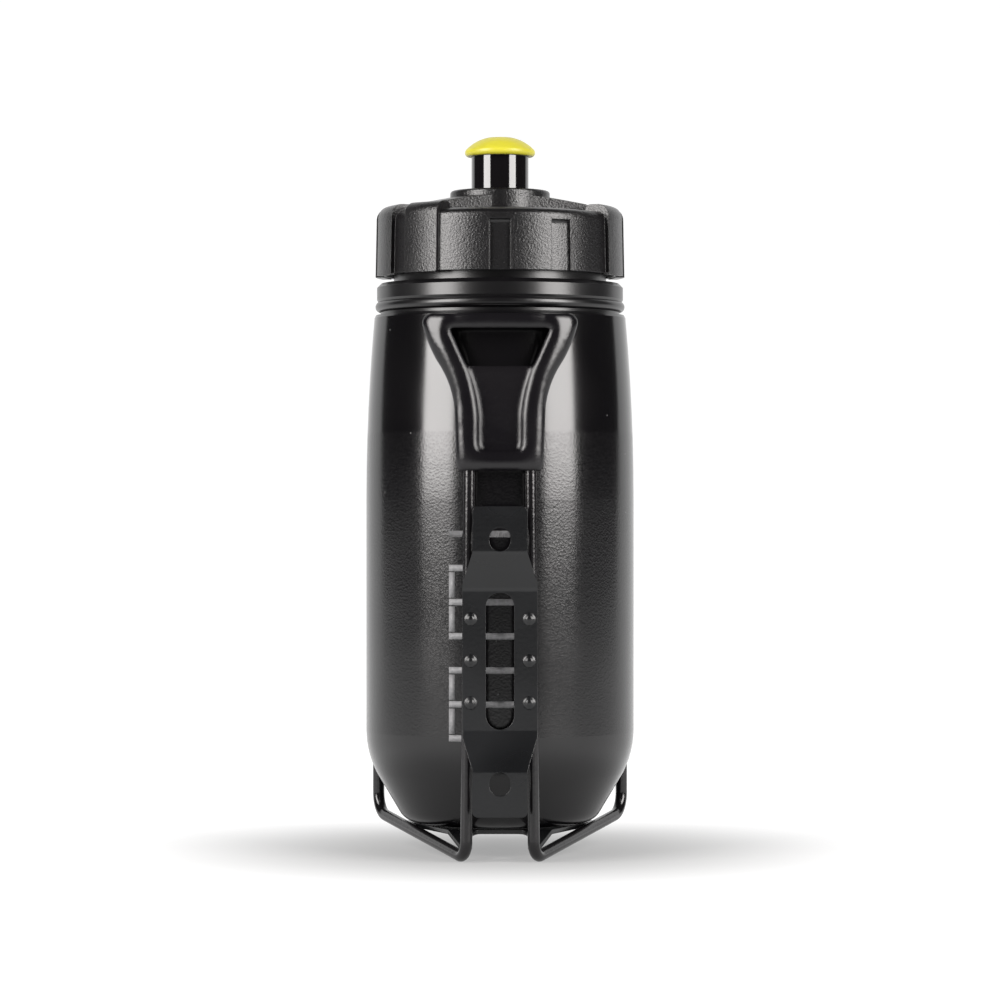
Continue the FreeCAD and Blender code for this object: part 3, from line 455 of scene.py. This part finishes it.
CLIP_VOXEL = 0.28 * MM
CLIP_EDGE = 2.6 * MM
CROWN_START = BODY_RADIUS + 2.9 * MM
CROWN_ROUNDS, EDGE_ROUNDS = 300, 14
BAR_LOW, BAR_HALF = FOOT + 133.1 * MM, 12.6 * MM
CORE_START = 0.5 * MM
MERGE = 0.001 * MM


def make_clip_vinyl():
    """Glossy black vinyl with slow waves and a few dull patches."""
    material, tree, shader, place = new_material("clip_vinyl", IOR=1.5, Specular_IOR_Level=0.4)
    waves = add_node(tree, "ShaderNodeTexNoise", None,
                     {"Vector": place, "Scale": 220.0, "Detail": 2.0})
    dust = add_group(tree, DUST, Place=place, Spread=300.0, Size=0.035)
    tree.links.new(mix_colour(tree, dust.outputs["Bloom"], (0.0040, 0.0036, 0.0044, 1),
                              (0.0060, 0.0054, 0.0062, 1)), shader.inputs["Base Color"])
    tree.links.new(mix_value(tree, dust.outputs["Bloom"], 0.16, 0.24), shader.inputs["Roughness"])
    edge = add_node(tree, "ShaderNodeBevel", {"samples": 8}, {"Radius": CLIP_EDGE})
    bump = add_node(tree, "ShaderNodeBump", None,
                    {"Height": waves.outputs["Fac"], "Strength": 0.3, "Distance": 0.0003,
                     "Normal": edge.outputs[0]})
    tree.links.new(bump.outputs[0], shader.inputs["Normal"])
    return material


def add_core(mesh, name, low):
    """Add the stretch of a wire above a height, so that the grip is solid right through."""
    wire = bmesh.new()
    wire.from_mesh(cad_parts[name].data)
    bmesh.ops.remove_doubles(wire, verts=wire.verts, dist=MERGE)
    parts = list(wire.verts) + list(wire.edges) + list(wire.faces)
    bmesh.ops.bisect_plane(wire, geom=parts, plane_co=(0, 0, low), plane_no=(0, 0, 1),
                           clear_inner=True)
    rims = [edge for edge in wire.edges if edge.is_boundary]
    bmesh.ops.holes_fill(wire, edges=rims)
    core = bpy.data.meshes.new("core")
    wire.to_mesh(core)
    wire.free()
    mesh.from_mesh(core)
    bpy.data.meshes.remove(core)


def apply_modifiers(piece):
    """Replace a piece's mesh with what its modifiers make of it."""
    shown = piece.evaluated_get(bpy.context.evaluated_depsgraph_get())
    data = bpy.data.meshes.new_from_object(shown)
    piece.modifiers.clear()
    piece.data = data


def make_clip():
    """The grip's skin: remeshed fine, its arms crowned by smoothing, then its edges rounded."""
    mesh = bmesh.new()
    mesh.from_mesh(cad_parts["top_clip"].data)
    bmesh.ops.remove_doubles(mesh, verts=mesh.verts, dist=MERGE)
    for name in ("wire_left", "wire_right"):
        add_core(mesh, name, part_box("top_clip")[0].z + CORE_START)
    data = bpy.data.meshes.new("clip_grip")
    mesh.to_mesh(data)
    mesh.free()
    clip = bpy.data.objects.new("clip_grip", data)
    bpy.context.scene.collection.objects.link(clip)
    remesh = clip.modifiers.new("even_skin", "REMESH")
    remesh.mode = "VOXEL"
    remesh.voxel_size = CLIP_VOXEL
    apply_modifiers(clip)
    crown = clip.vertex_groups.new(name="crown")
    crown.add([vert.index for vert in clip.data.vertices
               if (vert.co.x**2 + (vert.co.y - AXIS.y) ** 2) ** 0.5 > CROWN_START
               and not (abs(vert.co.x) < BAR_HALF and vert.co.z > BAR_LOW)], 1.0, "REPLACE")
    swell = clip.modifiers.new("crowned_arms", "SMOOTH")
    swell.use_x = swell.use_z = False
    swell.vertex_group = crown.name
    swell.factor = 0.5
    swell.iterations = CROWN_ROUNDS
    rounding = clip.modifiers.new("round_edges", "SMOOTH")
    rounding.factor = 0.5
    rounding.iterations = EDGE_ROUNDS
    apply_modifiers(clip)
    clip.vertex_groups.clear()
    for face in clip.data.polygons:
        face.use_smooth = True
    return clip


clip = make_clip()
clip.data.materials.clear()
clip.data.materials.append(make_clip_vinyl())
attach(clip, "cage")
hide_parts("top_clip")

# ---- The studio -------------------------------------------------------------------------------
# A pale floor that curves up into a wall. Both glow, less near the bottle, which is a painted
# shadow pool, and less on the camera's side, which is painted shade. The room is pale to look at
# and dim in reflections, with two tall soft lights.

FLOOR = cad_box[0].z
WALL_Y = 2.5
WALL_HIGH = 3.4
SWEEP = 0.9
HALF_SPREAD = 3.2
SWEEP_STEPS = 16
SHADOW_NEAR, SHADOW_FAR = 0.02, 0.13
SHADOW_GLOW, FLOOR_GLOW = 0.34, 0.95
DIM_FAR, DIM_NEAR, DIM_SHARE = AXIS.y - 0.62, AXIS.y - 0.34, 0.36
LIGHT_REACH, LIGHT_HIGH, LIGHT_LIFT = 0.90, 0.90, 0.56
ROOM_REFLECTED, ROOM_SEEN = 0.04, 0.80
EYE = Vector((0.0, AXIS.y - 1.03, FOOT + 87.8 * MM))


def make_backdrop():
    """The floor, the curve and the wall as one swept sheet."""
    mesh = bmesh.new()
    line = [Vector((-HALF_SPREAD, -WALL_Y, FLOOR)),
            Vector((-HALF_SPREAD, WALL_Y - SWEEP, FLOOR))]
    for step in range(1, SWEEP_STEPS + 1):
        angle = pi / 2 * step / SWEEP_STEPS
        line.append(Vector((-HALF_SPREAD, WALL_Y - SWEEP + SWEEP * sin(angle),
                            FLOOR + SWEEP * (1 - cos(angle)))))
    line.append(Vector((-HALF_SPREAD, WALL_Y, WALL_HIGH)))
    verts = [mesh.verts.new(point) for point in line]
    edges = [mesh.edges.new(pair) for pair in zip(verts, verts[1:])]
    swept = bmesh.ops.extrude_edge_only(mesh, edges=edges)
    moved = [item for item in swept["geom"] if isinstance(item, bmesh.types.BMVert)]
    bmesh.ops.translate(mesh, verts=moved, vec=(2 * HALF_SPREAD, 0, 0))
    data = bpy.data.meshes.new("backdrop")
    for face in mesh.faces:
        face.smooth = True
    mesh.to_mesh(data)
    mesh.free()
    backdrop = bpy.data.objects.new("backdrop", data)
    bpy.context.scene.collection.objects.link(backdrop)
    material, tree, shader, place = new_material("backdrop_paper", Roughness=0.9)
    reach = add_node(tree, "ShaderNodeVectorMath", {"operation": "DISTANCE"},
                     {0: place, 1: (AXIS.x, AXIS.y, FLOOR)})
    # painted shadow: the glow is lowest at the bottle's foot, a shadow pool painted into the
    # floor
    glow = add_node(tree, "ShaderNodeMapRange", {"interpolation_type": "SMOOTHSTEP"},
                    {"Value": reach.outputs["Value"], "From Min": SHADOW_NEAR,
                     "From Max": SHADOW_FAR, "To Min": SHADOW_GLOW, "To Max": FLOOR_GLOW})
    apart = add_node(tree, "ShaderNodeSeparateXYZ", None, {"Vector": place})
    # painted shade: the glow is dimmer on the camera's side of the floor, so its reflections are
    # darker
    camera_side_shade = add_node(tree, "ShaderNodeMapRange", {"interpolation_type": "SMOOTHSTEP"},
                     {"Value": apart.outputs["Y"], "From Min": DIM_FAR, "From Max": DIM_NEAR,
                      "To Min": DIM_SHARE, "To Max": 1.0})
    glow_with_painted_shade = add_node(tree, "ShaderNodeMath", {"operation": "MULTIPLY"},
                   {0: glow.outputs[0], 1: camera_side_shade.outputs[0]})
    shader.inputs["Base Color"].default_value = (0.12, 0.12, 0.12, 1)
    shader.inputs["Emission Color"].default_value = (1, 1, 1, 1)
    tree.links.new(glow_with_painted_shade.outputs[0], shader.inputs["Emission Strength"])
    data.materials.append(material)


def add_soft_light(name, azimuth, width, power):
    """A tall rectangular light that faces the bottle's axis from an azimuth."""
    light = bpy.data.lights.new(name, "AREA")
    light.shape = "RECTANGLE"
    light.size, light.size_y = width, LIGHT_HIGH
    light.energy = power
    light.color = (1.0, 0.975, 0.96)
    lamp = bpy.data.objects.new(name, light)
    bpy.context.scene.collection.objects.link(lamp)
    turn = radians(azimuth)
    place = Vector((AXIS.x + LIGHT_REACH * sin(turn), AXIS.y - LIGHT_REACH * cos(turn),
                    FLOOR + LIGHT_LIFT))
    lamp.location = place
    target = Vector((AXIS.x, AXIS.y, place.z))
    lamp.visible_camera = False
    lamp.rotation_euler = (target - place).to_track_quat("-Z", "Y").to_euler()


make_backdrop()
add_soft_light("left_softbox", -54, 0.46, 19)
add_soft_light("right_softbox", 52, 0.45, 18)

world = bpy.data.worlds.new("studio")
world.use_nodes = True
dim_room = world.node_tree.nodes["Background"]
dim_room.inputs["Color"].default_value = (0.9, 0.9, 0.9, 1)
seen = world.node_tree.nodes.new("ShaderNodeLightPath")
strength = mix_value(world.node_tree, seen.outputs["Is Camera Ray"],
                     ROOM_REFLECTED, ROOM_SEEN)
world.node_tree.links.new(strength, dim_room.inputs["Strength"])
bpy.context.scene.world = world
bpy.context.scene.view_settings.view_transform = "Standard"

camera = bpy.data.cameras.new("camera")
camera.sensor_width = 36
camera.lens = 135.7
camera.clip_start = 0.01
viewer = bpy.data.objects.new("camera", camera)
viewer.location = EYE
viewer.rotation_euler = (pi / 2, 0, 0)
bpy.context.scene.collection.objects.link(viewer)
bpy.context.scene.camera = viewer
